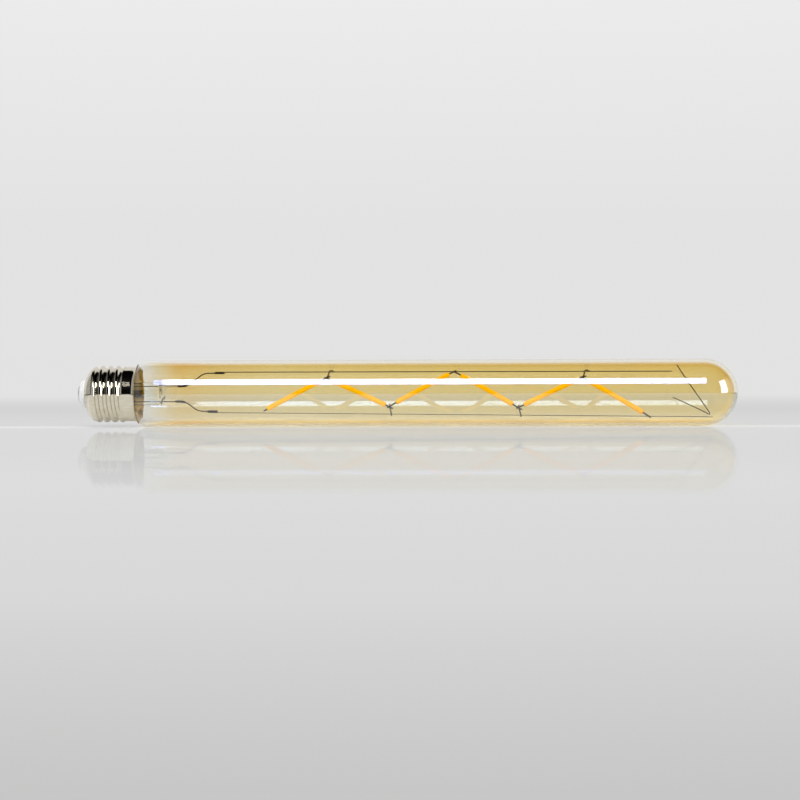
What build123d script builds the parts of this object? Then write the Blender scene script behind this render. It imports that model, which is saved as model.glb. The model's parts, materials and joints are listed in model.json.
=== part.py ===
"""Tubular filament bulb with a screw cap, lying along X with its cap towards -X.

The origin is on the bulb's axis, at the outer face of the centre contact. The wire
frame inside lies in one plane through the axis, the mount plane, whose upper half
leans towards +Y.
"""

import os
from math import cos, pi, sin

from build123d import *

os.makedirs("parts", exist_ok=True)

# Glass envelope
bulb_length = 300.0
tube_diameter = 30.5
glass_wall = 1.0
neck_diameter = 21.6
neck_start = 12.2
shoulder_start = 28.3
neck_fillet = 1.2
shoulder_fillet = 2.2

# Screw shell, pressed and rolled from sheet
shell_start = 3.7
shell_mouth_radius = 6.9
thread_start = 7.7
thread_pitch = 3.629
thread_turns = 4
thread_depth = 1.1
thread_fade_turns = 0.5
thread_phase = 0.5 * pi
sections_per_turn = 8
shell_sheet = 0.3
cement_thickness = 0.8
shell_shoulder_bulge = 0.9
skirt_length = 3.5
rim_length = 2.1
rim_flare = 1.4

# Insulator and centre contact
insulator_face = 1.0
insulator_tip_radius = 4.9
insulator_collar_radius = 7.9
insulator_collar_start = 5.2
insulator_collar_length = 1.2
contact_head_radius = 4.4
contact_flat_radius = 2.4
shank_radius = 1.25
shank_end = 6.8

# Cement between the shell and the neck
cement_start = 19.0
cement_end = 26.4

# Glass stem: flare, tube and press
stem_diameter = 11.0
stem_wall = 0.8
flare_gap = 0.05
flare_end = 18.5
press_start = 37.5
press_flattening = 3.0
press_end = 45.6
press_width = 11.2
press_thickness = 3.8
press_corner = 1.6

# Exhaust tube, closed by its tip
exhaust_diameter = 4.0
exhaust_wall = 0.6
exhaust_tip = 11.2

# Wires
mount_turn = 35.0
lead_diameter = 0.7
lead_spread = 4.2
lead_bend_radius = 2.5
rail_diameter = 0.5
hook_diameter = 0.45
brace_diameter = 0.45
weld_gap = 0.02
seal_gap = 0.02

# Bends and ends of the leads along X
upper_lead_bend = 50.2
upper_lead_rise = 57.0
upper_lead_end = 66.4
lower_lead_bend = 49.6
lower_lead_rise = 56.0
lower_lead_end = 64.8
splice_length = 4.4

# Rails: their distance from the glass at each end, and from the tip of the dome
upper_rail_left_gap = 1.95
upper_rail_right_gap = 2.2
upper_rail_tip_gap = 29.0
lower_rail_left_gap = 4.2
lower_rail_right_gap = 1.65
lower_rail_tip_gap = 12.0

# Filaments: their joints in the mount plane, from the cap to the dome
filament_count = 6
first_joint = 84.8
last_joint_tip_gap = 40.0
filament_joint_gap = 0.6
upper_hook_drop = 3.7
lower_hook_rise = 3.8
hook_stub = 1.4
filament_width = 2.1
filament_thickness = 1.7
filament_corner = 0.8
filament_end_chamfer = 0.35
tab_width = 1.0
tab_thickness = 0.3
tab_overhang = 1.2

# End brace against the dome end of the tube
brace_reach = 16.0
brace_half_angle = 66.0
brace_bend_radius = 1.2

# Driver in the cap
board_start = 8.7
board_thickness = 1.0
board_edge_gap = 0.25
board_notch = 2.4
part_edge_gap = 4.15
rectifier_length = 4.7
rectifier_width = 4.0
rectifier_height = 1.6
chip_length = 4.9
chip_width = 3.9
chip_height = 1.5
capacitor_length = 3.2
capacitor_width = 2.5
capacitor_height = 1.8
resistor_length = 6.0
resistor_diameter = 2.0
lead_tail = 0.6
contact_wire_diameter = 0.8
shell_wire_diameter = 0.5
shell_wire_end = 18.4

# Sizes that follow from those above
tube_radius = tube_diameter / 2
bore_radius = tube_radius - glass_wall
neck_radius = neck_diameter / 2
dome_centre = bulb_length - tube_radius
shell_bore = neck_radius + cement_thickness
root_radius = shell_bore + shell_sheet
sheet_radius = root_radius + thread_depth / 2
thread_end = thread_start + thread_pitch * thread_turns
skirt_end = thread_end + skirt_length
rim_end = skirt_end + rim_length
rim_radius = sheet_radius + rim_flare
skirt_bore = sheet_radius - shell_sheet
stem_radius = stem_diameter / 2
flare_radius = neck_radius - glass_wall - flare_gap
board_end = board_start + board_thickness
board_radius = shell_bore - board_edge_gap
part_ring = board_radius - part_edge_gap
lead_radius = lead_diameter / 2
rail_radius = rail_diameter / 2
hook_radius = hook_diameter / 2
brace_radius = brace_diameter / 2
upper_rail_start = upper_lead_end - splice_length
upper_rail_end = bulb_length - upper_rail_tip_gap
upper_rail_left = bore_radius - upper_rail_left_gap
upper_rail_right = bore_radius - upper_rail_right_gap
lower_rail_start = lower_lead_end - splice_length
lower_rail_end = bulb_length - lower_rail_tip_gap
lower_rail_left = lower_rail_left_gap - bore_radius
lower_rail_right = lower_rail_right_gap - bore_radius
joint_pitch = (bulb_length - last_joint_tip_gap - first_joint) / filament_count
filament_length = joint_pitch - filament_joint_gap
splice_offset = lead_radius + rail_radius + weld_gap
filament_offset = rail_radius + tab_thickness / 2 + weld_gap

mount_plane = Plane.XZ.rotated((-mount_turn, 0, 0))


def cross_plane(x: float) -> Plane:
    """Plane across the axis at x, with its own x direction up the mount plane."""
    return Plane(origin=(x, 0, 0), x_dir=mount_plane.y_dir, z_dir=(1, 0, 0))


def upper_rail_at(x: float) -> float:
    """Distance of the upper rail from the axis at x."""
    share = (x - upper_rail_start) / (upper_rail_end - upper_rail_start)
    return upper_rail_left + share * (upper_rail_right - upper_rail_left)


def lower_rail_at(x: float) -> float:
    """Distance of the lower rail from the axis at x, which is negative."""
    share = (x - lower_rail_start) / (lower_rail_end - lower_rail_start)
    return lower_rail_left + share * (lower_rail_right - lower_rail_left)


def thread_centre(turn: float) -> tuple[float, float]:
    """Centre of the shell's round section after so many turns of the thread.

    A round section whose centre goes round a small circle as it moves along the
    axis is a knuckle thread. The circle shrinks to nothing where the thread fades.
    """
    fading = min(1.0, turn / thread_fade_turns, (thread_turns - turn) / thread_fade_turns)
    swing = thread_depth / 2 * fading
    angle = thread_phase + 2 * pi * turn
    return (swing * cos(angle), swing * sin(angle))


def bulb_outline(inset: float) -> None:
    """Closed half outline of the envelope, moved inwards by inset."""
    radius = tube_radius - inset
    neck = neck_radius - inset
    shoulder = shoulder_start + inset
    side = FilletPolyline(
        (neck_start, neck),
        (shoulder, neck),
        (shoulder, radius),
        (dome_centre, radius),
        radius=(neck_fillet + inset, shoulder_fillet - inset),
    )
    dome = RadiusArc(side @ 1, (dome_centre + radius, 0), radius)
    Polyline(dome @ 1, (neck_start, 0), side @ 0)


def save(piece: BuildPart, name: str) -> None:
    """Label a finished piece and write it under its node's name."""
    piece.part.label = name
    export_step(piece.part, f"parts/{name}.step")


# Blown glass: neck, shoulder, tube and dome
with BuildPart() as glass_envelope:
    with BuildSketch(Plane.XY):
        with BuildLine():
            bulb_outline(0.0)
        make_face()
        with BuildLine():
            bulb_outline(glass_wall)
        make_face(mode=Mode.SUBTRACT)
    revolve(axis=Axis.X)
save(glass_envelope, "glass_envelope")

# Threaded shell: shoulder, rolled thread, plain skirt and flared rim
with BuildPart() as screw_shell:
    shoulder_middle = (
        (shell_start + thread_start - shell_shoulder_bulge) / 2,
        (shell_mouth_radius + sheet_radius + shell_shoulder_bulge) / 2,
    )
    with BuildSketch(Plane.XY):
        with BuildLine():
            shoulder = ThreePointArc(
                (shell_start, shell_mouth_radius), shoulder_middle, (thread_start, sheet_radius)
            )
            Polyline(shoulder @ 1, (thread_start, 0), (shell_start, 0), shoulder @ 0)
        make_face()
        with BuildLine():
            flare = TangentArc((skirt_end, sheet_radius), (rim_end, rim_radius), tangent=(1, 0))
            flare_middle = flare @ 0.5
            Polyline(
                flare @ 1,
                (rim_end, 0),
                (thread_end, 0),
                (thread_end, sheet_radius),
                (skirt_end, sheet_radius),
            )
        make_face()
    revolve(axis=Axis.X)
    section_count = round(thread_turns * sections_per_turn)
    for section in range(section_count + 1):
        turn = thread_turns * section / section_count
        with BuildSketch(Plane.YZ.offset(thread_start + thread_pitch * turn)):
            with Locations(thread_centre(turn)):
                Circle(sheet_radius)
    loft(ruled=True)
    with BuildSketch(Plane.XY):
        with BuildLine():
            Polyline(
                (shell_start, 0),
                (shell_start, shell_mouth_radius - shell_sheet),
                (shoulder_middle[0] + shell_sheet, shoulder_middle[1] - shell_sheet),
                (thread_start, shell_bore),
                (thread_end, shell_bore),
                (thread_end + shell_sheet, skirt_bore),
                (skirt_end, skirt_bore),
                (flare_middle.X + shell_sheet / 2, flare_middle.Y - shell_sheet),
                (rim_end, rim_radius - shell_sheet),
                (rim_end, 0),
                close=True,
            )
        make_face()
    revolve(axis=Axis.X, mode=Mode.SUBTRACT)
save(screw_shell, "screw_shell")

# Insulator: a rounded nose through the shell's mouth and a collar behind it
insulator_neck_radius = shell_mouth_radius - shell_sheet - weld_gap
insulator_end = insulator_collar_start + insulator_collar_length
with BuildPart() as insulator:
    with BuildSketch(Plane.XY):
        with BuildLine():
            nose = TangentArc(
                (shell_start, insulator_neck_radius),
                (insulator_face, insulator_tip_radius),
                tangent=(-1, 0),
            )
            Polyline(
                nose @ 1,
                (insulator_face, shank_radius),
                (insulator_end, shank_radius),
                (insulator_end, insulator_collar_radius),
                (insulator_collar_start, insulator_collar_radius),
                (insulator_collar_start, insulator_neck_radius),
                nose @ 0,
            )
        make_face()
    revolve(axis=Axis.X)
save(insulator, "insulator")

# Centre contact: a domed rivet head with a flat, and a shank through the insulator
with BuildPart() as centre_contact:
    with BuildSketch(Plane.XY):
        with BuildLine():
            head = TangentArc(
                (0, contact_flat_radius), (insulator_face, contact_head_radius), tangent=(0, 1)
            )
            Polyline(
                head @ 1,
                (insulator_face, shank_radius - weld_gap),
                (shank_end, shank_radius - weld_gap),
                (shank_end, 0),
                (0, 0),
                head @ 0,
            )
        make_face()
    revolve(axis=Axis.X)
save(centre_contact, "centre_contact")

# Cement ring that holds the neck in the shell
with BuildPart() as basing_cement:
    with BuildSketch(Plane.XY):
        with BuildLine():
            Polyline(
                (cement_start, neck_radius + seal_gap),
                (cement_start, shell_bore - seal_gap),
                (thread_end, shell_bore - seal_gap),
                (thread_end + shell_sheet, skirt_bore - seal_gap),
                (skirt_end, skirt_bore - seal_gap),
                (cement_end, skirt_bore - seal_gap),
                (cement_end, neck_radius + seal_gap),
                close=True,
            )
        make_face()
    revolve(axis=Axis.X)
save(basing_cement, "basing_cement")

# Stem: a flare sealed in the neck, a tube, and a press pinched flat round the leads
with BuildPart() as stem:
    with BuildSketch(Plane.XY):
        with BuildLine():
            Polyline(
                (neck_start, flare_radius),
                (neck_start + stem_wall, flare_radius),
                (flare_end, stem_radius),
                (press_start, stem_radius),
                (press_start, stem_radius - stem_wall),
                (flare_end, stem_radius - stem_wall),
                close=True,
            )
        make_face()
    revolve(axis=Axis.X)
    with BuildSketch(cross_plane(press_start)):
        Circle(stem_radius)
    with BuildSketch(cross_plane(press_start + press_flattening)):
        RectangleRounded(press_width, press_thickness, press_corner)
    loft(ruled=True)
    with BuildSketch(cross_plane(press_start + press_flattening)):
        RectangleRounded(press_width, press_thickness, press_corner)
    extrude(amount=press_end - press_start - press_flattening)
    with BuildSketch(cross_plane(press_start)):
        with Locations((-lead_spread, 0), (lead_spread, 0)):
            Circle(lead_radius + seal_gap)
    extrude(amount=press_end - press_start, mode=Mode.SUBTRACT)
save(stem, "stem")

# Exhaust tube from the press to its melted tip in the cap
exhaust_radius = exhaust_diameter / 2
with BuildPart() as exhaust_tube:
    with BuildSketch(Plane.XY):
        for inset, joining in ((0.0, Mode.ADD), (exhaust_wall, Mode.SUBTRACT)):
            with BuildLine():
                tip = RadiusArc(
                    (exhaust_tip + inset, 0),
                    (exhaust_tip + exhaust_radius, exhaust_radius - inset),
                    exhaust_radius - inset,
                )
                Polyline(tip @ 1, (press_start, exhaust_radius - inset), (press_start, 0), tip @ 0)
            make_face(mode=joining)
    revolve(axis=Axis.X)
save(exhaust_tube, "exhaust_tube")

# Leads: from the driver through the press, then out to lie along the rails
upper_lead_points = (
    (board_start - lead_tail, lead_spread),
    (upper_lead_bend, lead_spread),
    (upper_lead_rise, upper_rail_at(upper_lead_rise) - splice_offset),
    (upper_lead_end, upper_rail_at(upper_lead_end) - splice_offset),
)
lower_lead_points = (
    (board_start - lead_tail, -lead_spread),
    (lower_lead_bend, -lead_spread),
    (lower_lead_rise, lower_rail_at(lower_lead_rise) + splice_offset),
    (lower_lead_end, lower_rail_at(lower_lead_end) + splice_offset),
)
for side, points in (("upper", upper_lead_points), ("lower", lower_lead_points)):
    with BuildPart() as lead_wire:
        with BuildLine(mount_plane) as lead_path:
            FilletPolyline(*points, radius=lead_bend_radius)
        with BuildSketch(Plane(origin=lead_path.wire() @ 0, z_dir=lead_path.wire() % 0)):
            Circle(lead_radius)
        sweep()
    save(lead_wire, f"{side}_lead_wire")

# Rails: two long straight wires that carry the filaments
upper_rail_ends = ((upper_rail_start, upper_rail_left), (upper_rail_end, upper_rail_right))
lower_rail_ends = ((lower_rail_start, lower_rail_left), (lower_rail_end, lower_rail_right))
for side, ends in (("upper", upper_rail_ends), ("lower", lower_rail_ends)):
    with BuildPart() as rail:
        with BuildLine(mount_plane) as rail_path:
            Line(*ends)
        with BuildSketch(Plane(origin=rail_path.line @ 0, z_dir=rail_path.line % 0)):
            Circle(rail_radius)
        sweep()
    save(rail, f"{side}_rail")

# Joints of the zigzag: its ends and its peak are on the rails, the others on hooks
joints = []
for number in range(filament_count + 1):
    joint_x = first_joint + number * joint_pitch
    joint_y = lower_rail_at(joint_x)
    if number % 2 == 1:
        joint_y = upper_rail_at(joint_x)
    joints.append((joint_x, joint_y))
hooked = {1: -upper_hook_drop, 2: lower_hook_rise, 4: lower_hook_rise, 5: -upper_hook_drop}
for number, shift in hooked.items():
    rail_x, rail_y = joints[number]
    inwards = 1 if shift > 0 else -1
    joints[number] = (rail_x, rail_y + shift)
    hook_top = mount_plane.from_local_coords(
        Vector(rail_x, rail_y + inwards * (rail_radius + weld_gap), 0)
    )
    with BuildPart() as hook:
        with BuildSketch(Plane(origin=hook_top, z_dir=mount_plane.y_dir * inwards)):
            Circle(hook_radius)
        extrude(amount=abs(shift) + hook_stub - rail_radius)
    save(hook, f"hook_{number}")

# Filaments: coated strips between the joints, by turns before and behind the wires
for number in range(filament_count):
    depth = filament_offset if number % 2 == 0 else -filament_offset
    start = mount_plane.from_local_coords(Vector(*joints[number], depth))
    end = mount_plane.from_local_coords(Vector(*joints[number + 1], depth))
    along = (end - start).normalized()
    margin = ((end - start).length - filament_length) / 2
    strip_ends = (start + along * margin, end - along * margin)
    with BuildPart() as filament:
        with BuildSketch(Plane(origin=strip_ends[0], x_dir=mount_plane.z_dir, z_dir=along)):
            RectangleRounded(filament_thickness, filament_width, filament_corner)
        extrude(amount=filament_length)
        caps = filament.faces().sort_by(Axis(strip_ends[0], along))
        chamfer(caps[0].edges() + caps[-1].edges(), filament_end_chamfer)
    save(filament, f"filament_{number + 1}")
    with BuildPart() as tabs:
        for strip_end, outwards in zip(strip_ends, (along * -1, along)):
            with BuildSketch(Plane(origin=strip_end, x_dir=mount_plane.z_dir, z_dir=outwards)):
                Rectangle(tab_thickness, tab_width)
            extrude(amount=margin + tab_overhang)
    save(tabs, f"filament_{number + 1}_tabs")

# End brace: one wire bent over the lower rail's end, with its legs on the glass
brace_apex_y = lower_rail_right + rail_radius + brace_radius + weld_gap
brace_wall_radius = bore_radius - brace_radius - weld_gap
leg_up = Vector(0, brace_wall_radius, 0).rotate(Axis.X, brace_half_angle)
leg_x = lower_rail_end - brace_reach
brace_apex_x = lower_rail_end - brace_diameter
brace_points = [
    mount_plane.from_local_coords(point)
    for point in (
        Vector(leg_x, leg_up.Y, leg_up.Z),
        Vector(brace_apex_x, brace_apex_y, 0),
        Vector(leg_x, leg_up.Y, -leg_up.Z),
    )
]
with BuildPart() as end_brace:
    with BuildLine() as brace_path:
        FilletPolyline(*brace_points, radius=brace_bend_radius)
    with BuildSketch(Plane(origin=brace_path.wire() @ 0, z_dir=brace_path.wire() % 0)):
        Circle(brace_radius)
    sweep()
save(end_brace, "end_brace")

# Driver board: a disc across the shell, notched for the cap's wire, drilled for the leads
shell_wire_ring = (neck_radius + shell_bore) / 2
with BuildPart() as driver_board:
    with BuildSketch(cross_plane(board_start)):
        Circle(board_radius)
        with Locations((-lead_spread, 0), (lead_spread, 0)):
            Circle(lead_radius + seal_gap, mode=Mode.SUBTRACT)
        with Locations((-board_radius, 0)):
            Circle(board_notch / 2, mode=Mode.SUBTRACT)
    extrude(amount=board_thickness)
save(driver_board, "driver_board")

# Parts on the board, on a ring clear of the leads and the exhaust tip
board_parts = (
    ("rectifier", 90.0, rectifier_length, rectifier_width, rectifier_height),
    ("driver_chip", 270.0, chip_length, chip_width, chip_height),
    ("chip_capacitor", 0.0, capacitor_length, capacitor_width, capacitor_height),
)
for name, angle, length, width, height in board_parts:
    with BuildPart() as board_part:
        with BuildSketch(cross_plane(board_end)):
            with PolarLocations(part_ring, 1, start_angle=angle):
                Rectangle(width, length)
        extrude(amount=height)
        chamfer(board_part.faces().sort_by(Axis.X)[-1].edges(), tab_thickness)
    save(board_part, name)

# Fuse resistor: a small barrel lying on the board
resistor_radius = resistor_diameter / 2
resistor_centre = cross_plane(board_end + resistor_radius).from_local_coords(
    Vector(-part_ring, -resistor_length / 2, 0)
)
with BuildPart() as fuse_resistor:
    with BuildSketch(Plane(origin=resistor_centre, z_dir=cross_plane(board_end).y_dir)):
        Circle(resistor_radius)
    extrude(amount=resistor_length)
    chamfer(fuse_resistor.edges().filter_by(GeomType.CIRCLE), resistor_radius / 3)
save(fuse_resistor, "fuse_resistor")

# Wires from the board to the centre contact and to the shell
with BuildPart() as contact_wire:
    with BuildSketch(Plane.YZ.offset(shank_end)):
        Circle(contact_wire_diameter / 2)
    extrude(amount=board_start - shank_end)
save(contact_wire, "contact_wire")

with BuildPart() as shell_wire:
    with BuildSketch(cross_plane(board_end)):
        with Locations((0, shell_wire_ring)):
            Circle(shell_wire_diameter / 2)
    extrude(amount=shell_wire_end - board_end)
save(shell_wire, "shell_wire")
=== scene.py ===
"""Dress the tubular filament bulb: amber glass, rolled screw cap, wire mount and light strips."""

import json
import logging
import math
from dataclasses import dataclass
from enum import Enum

import bmesh
import bpy
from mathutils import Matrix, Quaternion, Vector


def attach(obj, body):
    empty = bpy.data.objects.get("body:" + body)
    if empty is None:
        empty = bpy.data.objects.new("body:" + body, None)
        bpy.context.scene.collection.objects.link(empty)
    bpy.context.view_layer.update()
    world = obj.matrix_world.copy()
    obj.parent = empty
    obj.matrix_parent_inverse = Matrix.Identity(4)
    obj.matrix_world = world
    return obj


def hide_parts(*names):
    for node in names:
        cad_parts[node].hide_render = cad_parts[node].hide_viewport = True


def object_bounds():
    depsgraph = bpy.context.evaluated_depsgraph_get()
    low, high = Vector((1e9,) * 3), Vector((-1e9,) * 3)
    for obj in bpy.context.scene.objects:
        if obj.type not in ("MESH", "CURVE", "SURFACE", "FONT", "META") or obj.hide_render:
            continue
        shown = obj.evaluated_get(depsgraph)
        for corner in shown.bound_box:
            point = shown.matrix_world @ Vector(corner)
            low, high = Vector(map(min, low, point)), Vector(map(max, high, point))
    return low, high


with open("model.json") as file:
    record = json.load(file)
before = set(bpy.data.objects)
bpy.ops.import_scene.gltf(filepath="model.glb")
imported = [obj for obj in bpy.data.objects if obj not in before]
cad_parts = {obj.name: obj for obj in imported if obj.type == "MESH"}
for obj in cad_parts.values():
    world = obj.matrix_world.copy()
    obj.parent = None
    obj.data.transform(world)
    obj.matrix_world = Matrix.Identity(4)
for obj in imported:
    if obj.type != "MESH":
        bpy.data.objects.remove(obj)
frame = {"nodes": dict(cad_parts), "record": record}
CAD_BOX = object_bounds()

MM = 0.001
BODY = "root"
# Attribute of the lustre's thickness, thinned below the axis as painted reflection.
LUSTRE_AND_PAINTED_REFLECTION = "lustre"
LINING = "lining"
THICKNESS = "thickness"
MIX_FIRST, MIX_SECOND, MIX_RESULT = 6, 7, 2
ONCE, TWICE = 0.5, 1.5
ON_AXIS = 1e-6
Pair = tuple[float, float]
Rail = tuple[float, float, float, float]
Point = tuple[float, float, float]
Colour = tuple[float, float, float]
Sources = dict[str | int, object]

log = logging.getLogger("bulb")


class Slot(Enum):
    """Material slots of the part's record."""

    AMBER_GLASS = "amber_glass"
    STEM_GLASS = "stem_glass"
    NICKEL = "nickel_shell"
    CONTACT = "contact_metal"
    INSULATOR = "white_insulator"
    CEMENT = "cement"
    LEAD = "lead_metal"
    RAIL = "rail_metal"
    PHOSPHOR = "phosphor"
    TAB = "tab_metal"
    BOARD = "board"
    CHIP = "chip_body"
    RESISTOR = "resistor_body"
    COPPER = "copper_wire"


class Seen(Enum):
    """Which surfaces a lamp serves."""

    DULL = "dull surfaces"
    SHINE = "shiny surfaces"
    GLASS = "through glass"


class Graph:
    """A node tree under construction, with short ways to add and join nodes."""

    def __init__(self, tree: bpy.types.NodeTree) -> None:
        """Start on the node tree that gets the nodes."""
        self.tree = tree

    def node(self, kind: str, sources: Sources | None = None,
             **settings: object) -> bpy.types.Node:
        """Add a node, set its properties and fill its inputs.

        Args:
            kind: The node's type name.
            sources: What its inputs get, by their name or number.
            settings: Properties of the node.

        Returns:
            The new node.
        """
        made = self.tree.nodes.new(kind)
        for name, value in settings.items():
            setattr(made, name, value)
        self.fill(made, sources or {})
        return made

    def fill(self, node: bpy.types.Node, sources: Sources) -> None:
        """Give several of a node's inputs their sources, by their name or number."""
        for place, source in sources.items():
            self.feed(node.inputs[place], source)

    def feed(self, socket: bpy.types.NodeSocket, source: object) -> None:
        """Join a source socket to an input, or set the input's own value.

        Args:
            socket: The input.
            source: An output socket or a plain value.
        """
        if isinstance(source, bpy.types.NodeSocket):
            self.tree.links.new(source, socket)
        else:
            socket.default_value = source

    def math(self, operation: str, *operands: object) -> bpy.types.NodeSocket:
        """Add a Math node on sockets or numbers, and give its value socket."""
        made = self.node("ShaderNodeMath", dict(enumerate(operands)), operation=operation)
        return made.outputs[0]

    def span(self, value: object, low: object, high: object, start: object, end: object,
             smooth: bool = False) -> bpy.types.NodeSocket:
        """Map a value from one span to another, held at the ends.

        Args:
            value: What is mapped.
            low: Start of the span it comes from.
            high: End of the span it comes from.
            start: Result at low.
            end: Result at high.
            smooth: Whether the ends ease in and out.

        Returns:
            The mapped value's socket.
        """
        kind = "SMOOTHSTEP" if smooth else "LINEAR"
        sources = dict(enumerate((value, low, high, start, end)))
        made = self.node("ShaderNodeMapRange", sources, clamp=True, interpolation_type=kind)
        return made.outputs[0]

    def axes(self, vector: bpy.types.NodeSocket) -> bpy.types.bpy_prop_collection:
        """Split a vector, and give the sockets of its axes by name."""
        return self.node("ShaderNodeSeparateXYZ", {0: vector}).outputs

    def mix(self, share: object, first: object, second: object,
            kind: str = "MIX") -> bpy.types.NodeSocket:
        """Mix two colours.

        Args:
            share: Share of the second colour.
            first: First colour.
            second: Second colour.
            kind: How the second acts on the first.

        Returns:
            The colour socket.
        """
        sources = {"Factor": share, MIX_FIRST: first, MIX_SECOND: second}
        made = self.node("ShaderNodeMix", sources, data_type="RGBA", blend_type=kind)
        return made.outputs[MIX_RESULT]

    def blend(self, share: object, *shaders: bpy.types.NodeSocket) -> bpy.types.NodeSocket:
        """Mix two shaders by the share of the second, and give the shader socket."""
        sources = dict(enumerate((share, *shaders)))
        return self.node("ShaderNodeMixShader", sources).outputs[0]

    def ramp(self, value: object, stops: tuple[tuple[float, Colour], ...]) -> bpy.types.NodeSocket:
        """Add a colour ramp.

        Args:
            value: Place on the ramp.
            stops: Place and colour of each stop.

        Returns:
            The colour socket.
        """
        made = self.node("ShaderNodeValToRGB", {0: value})
        elements = made.color_ramp.elements
        while len(elements) < len(stops):
            elements.new(0.5)
        for element, (place, colour) in zip(elements, stops):
            element.position = place
            element.color = (*colour, 1.0)
        return made.outputs[0]


class MottleGroup:
    """Shader node group for uneven surfaces: a soft cloud, its roughness and a bump height."""

    NAME = "surface mottle"
    SIZES = (("Scale", 400.0), ("Stretch", 1.0), ("Low", 0.1), ("High", 0.2))
    DETAIL = 4.0
    SPREAD = (0.3, 0.7)

    @classmethod
    def tree(cls) -> bpy.types.NodeTree:
        """Build the group once.

        Returns:
            The group's node tree.
        """
        found = bpy.data.node_groups.get(cls.NAME)
        if found:
            return found
        group = bpy.data.node_groups.new(cls.NAME, "ShaderNodeTree")
        face = group.interface
        for name, value in cls.SIZES:
            socket = face.new_socket(name, in_out="INPUT", socket_type="NodeSocketFloat")
            socket.default_value = value
        for name in ("Cloud", "Roughness", "Height"):
            face.new_socket(name, in_out="OUTPUT", socket_type="NodeSocketFloat")
        graph = Graph(group)
        inputs = graph.node("NodeGroupInput").outputs
        place = graph.node("ShaderNodeTexCoord").outputs["Object"]
        squeeze = graph.node("ShaderNodeCombineXYZ", {"X": inputs["Stretch"], "Y": 1.0, "Z": 1.0})
        scaled = graph.node("ShaderNodeVectorMath", {0: place, 1: squeeze.outputs[0]},
                            operation="MULTIPLY")
        noise = graph.node("ShaderNodeTexNoise", {
            "Vector": scaled.outputs[0], "Scale": inputs["Scale"], "Detail": cls.DETAIL,
        })
        cloud = noise.outputs[0]
        rough = graph.span(cloud, *cls.SPREAD, inputs["Low"], inputs["High"])
        graph.node("NodeGroupOutput", {"Cloud": cloud, "Roughness": rough, "Height": cloud})
        return group


@dataclass(frozen=True)
class Finish:
    """An opaque finish: two colours that the mottle mixes, and how the surface shines."""

    COLOUR_PLACES = (0.35, 0.65)

    name: str
    first: Colour
    second: Colour
    metallic: float = 0.0
    rough: Pair = (0.25, 0.4)
    grain: float = 400.0
    stretch: float = 1.0
    relief: float = 0.05
    relief_depth: float = 0.00005
    gloss: float = 0.5
    # Painted light: glow makes the surface emit its own colour, so it looks lit whatever the lamps
    # do.
    glow: float = 0.0
    lining: Colour | None = None
    lining_metallic: float = 0.4
    lining_rough: float = 0.12

    def material(self) -> bpy.types.Material:
        """Build the finish's material.

        Returns:
            The material.
        """
        made = bpy.data.materials.new(self.name)
        made.use_nodes = True
        graph = Graph(made.node_tree)
        shader = made.node_tree.nodes["Principled BSDF"]
        names = [name for name, _ in MottleGroup.SIZES]
        sizes = dict(zip(names, (self.grain, self.stretch, *self.rough)))
        uneven = graph.node("ShaderNodeGroup", sizes, node_tree=MottleGroup.tree()).outputs
        stops = tuple(zip(self.COLOUR_PLACES, (self.first, self.second)))
        colour, rough = graph.ramp(uneven["Cloud"], stops), uneven["Roughness"]
        metallic: object = self.metallic
        if self.lining:
            lined = graph.node("ShaderNodeAttribute", attribute_name=LINING).outputs["Fac"]
            colour = graph.mix(lined, colour, (*self.lining, 1.0))
            metallic = graph.span(lined, 0.0, 1.0, self.metallic, self.lining_metallic)
            rough = graph.math("MULTIPLY_ADD", lined, self.lining_rough, rough)
        bump = graph.node("ShaderNodeBump", {
            "Strength": self.relief, "Distance": self.relief_depth, "Height": uneven["Height"],
        })
        graph.fill(shader, {
            "Base Color": colour, "Metallic": metallic, "Roughness": rough,
            "Specular IOR Level": self.gloss, "Normal": bump.outputs[0],
        })
        # Painted light: the finish glows in its own colour, which flattens its shading and lights
        # its far side.
        if self.glow:
            graph.fill(shader, {"Emission Color": colour, "Emission Strength": self.glow})
        return made


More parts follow.
